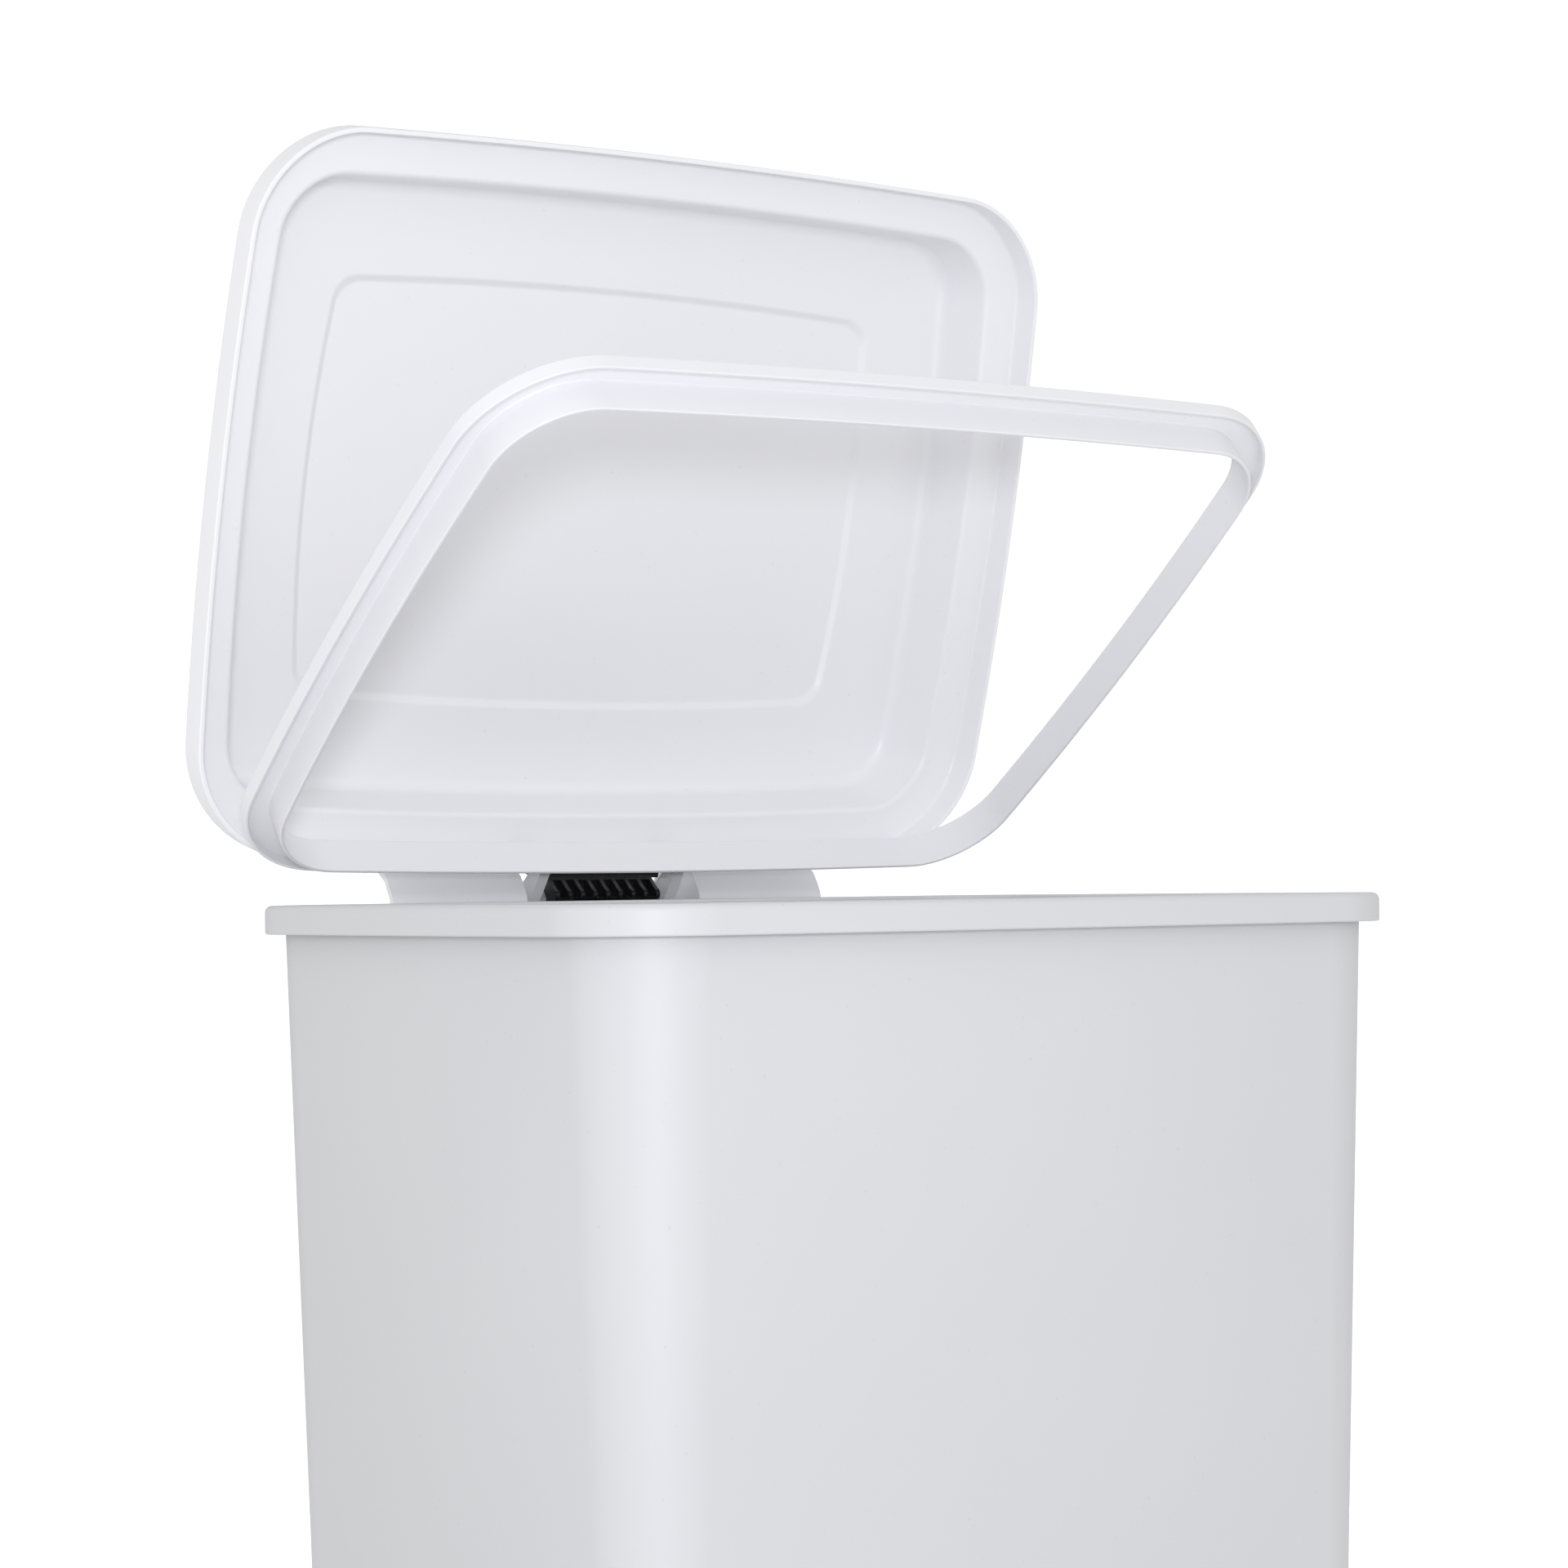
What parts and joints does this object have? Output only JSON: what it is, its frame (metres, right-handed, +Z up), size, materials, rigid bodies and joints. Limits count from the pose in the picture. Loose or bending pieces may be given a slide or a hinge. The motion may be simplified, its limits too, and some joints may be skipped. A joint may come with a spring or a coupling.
{
  "type": "pedal bin",
  "caption": "Hospital pedal bin in white plastic: tapered rectangular body with a rolled rim, domed drop-over lid held open, hinged bag ring, ribbed hinge block and a foot pedal with a lift rod",
  "frame": {"origin": "under the middle of the open bin's bounding box, on the floor plane of its feet", "axes": "+Z is up, +Y points from the pedal to the hinge at the back, +X is to the right seen from the front"},
  "size_m": [0.474, 0.4567, 0.9694],
  "materials": {
    "body_white": "satin white moulded plastic",
    "lid_white": "glossy white moulded plastic",
    "ring_white": "glossy white moulded plastic",
    "hinge_black": "black moulded plastic",
    "part_black": "black moulded plastic",
    "foot_rubber": "matt black rubber",
    "steel": "zinc plated steel"
  },
  "bodies": {
    "body": {"body_shell": "body_white", "base_plate": "part_black", "foot_front_left": "foot_rubber", "foot_front_right": "foot_rubber", "foot_rear_left": "foot_rubber", "foot_rear_right": "foot_rubber", "foot_screw_front_left": "steel", "foot_screw_front_right": "steel", "foot_screw_rear_left": "steel", "foot_screw_rear_right": "steel", "hinge_tower": "body_white", "tower_screw_lower_left": "steel", "tower_screw_lower_right": "steel", "tower_screw_upper_left": "steel", "tower_screw_upper_right": "steel", "hinge_pin": "steel", "pin_clip_left": "steel", "pin_clip_right": "steel", "rod_channel": "body_white", "channel_screw_lower_left": "steel", "channel_screw_lower_right": "steel", "channel_screw_upper_left": "steel", "channel_screw_upper_right": "steel", "rod_guide": "part_black", "pedal_axle": "steel", "axle_clip_left": "steel", "axle_clip_right": "steel"},
    "lid": {"lid_shell": "lid_white", "hinge_block": "hinge_black", "block_screw_left": "steel", "block_screw_right": "steel"},
    "ring": {"bag_ring": "ring_white"},
    "pedal": {"pedal_lever": "steel", "lever_bush": "part_black", "pedal_pad": "part_black", "pedal_screw_left": "steel", "pedal_screw_right": "steel"},
    "lift": {"lift_rod": "steel", "rod_shoe": "part_black", "rod_head": "part_black"}
  },
  "joints": [
    {"name": "lid_hinge", "type": "hinge", "parent": "body", "child": "lid", "pos_m": [0, 0.1976, 0.5955], "axis": [-1, 0, 0], "range_deg": [-76.2, 3]},
    {"name": "ring_hinge", "type": "hinge", "parent": "body", "child": "ring", "pos_m": [0, 0.1976, 0.5955], "axis": [-1, 0, 0], "range_deg": [-38.25, 1.6]},
    {"name": "pedal_hinge", "type": "hinge", "parent": "body", "child": "pedal", "pos_m": [0, 0.0136, 0.03], "axis": [1, 0, 0], "range_deg": [-6.95, 0.3]},
    {"name": "lift_slide", "type": "slide", "parent": "body", "child": "lift", "axis": [0, 0, 1], "range_m": [-0.0204, 0.0009]}
  ],
  "couplings": [
    {"joint": "ring_hinge", "follows": "lid_hinge", "ratio": 0.5013},
    {"joint": "pedal_hinge", "follows": "lid_hinge", "ratio": 0.09055},
    {"joint": "lift_slide", "follows": "lid_hinge", "m_per_rad": 0.015234}
  ]
}
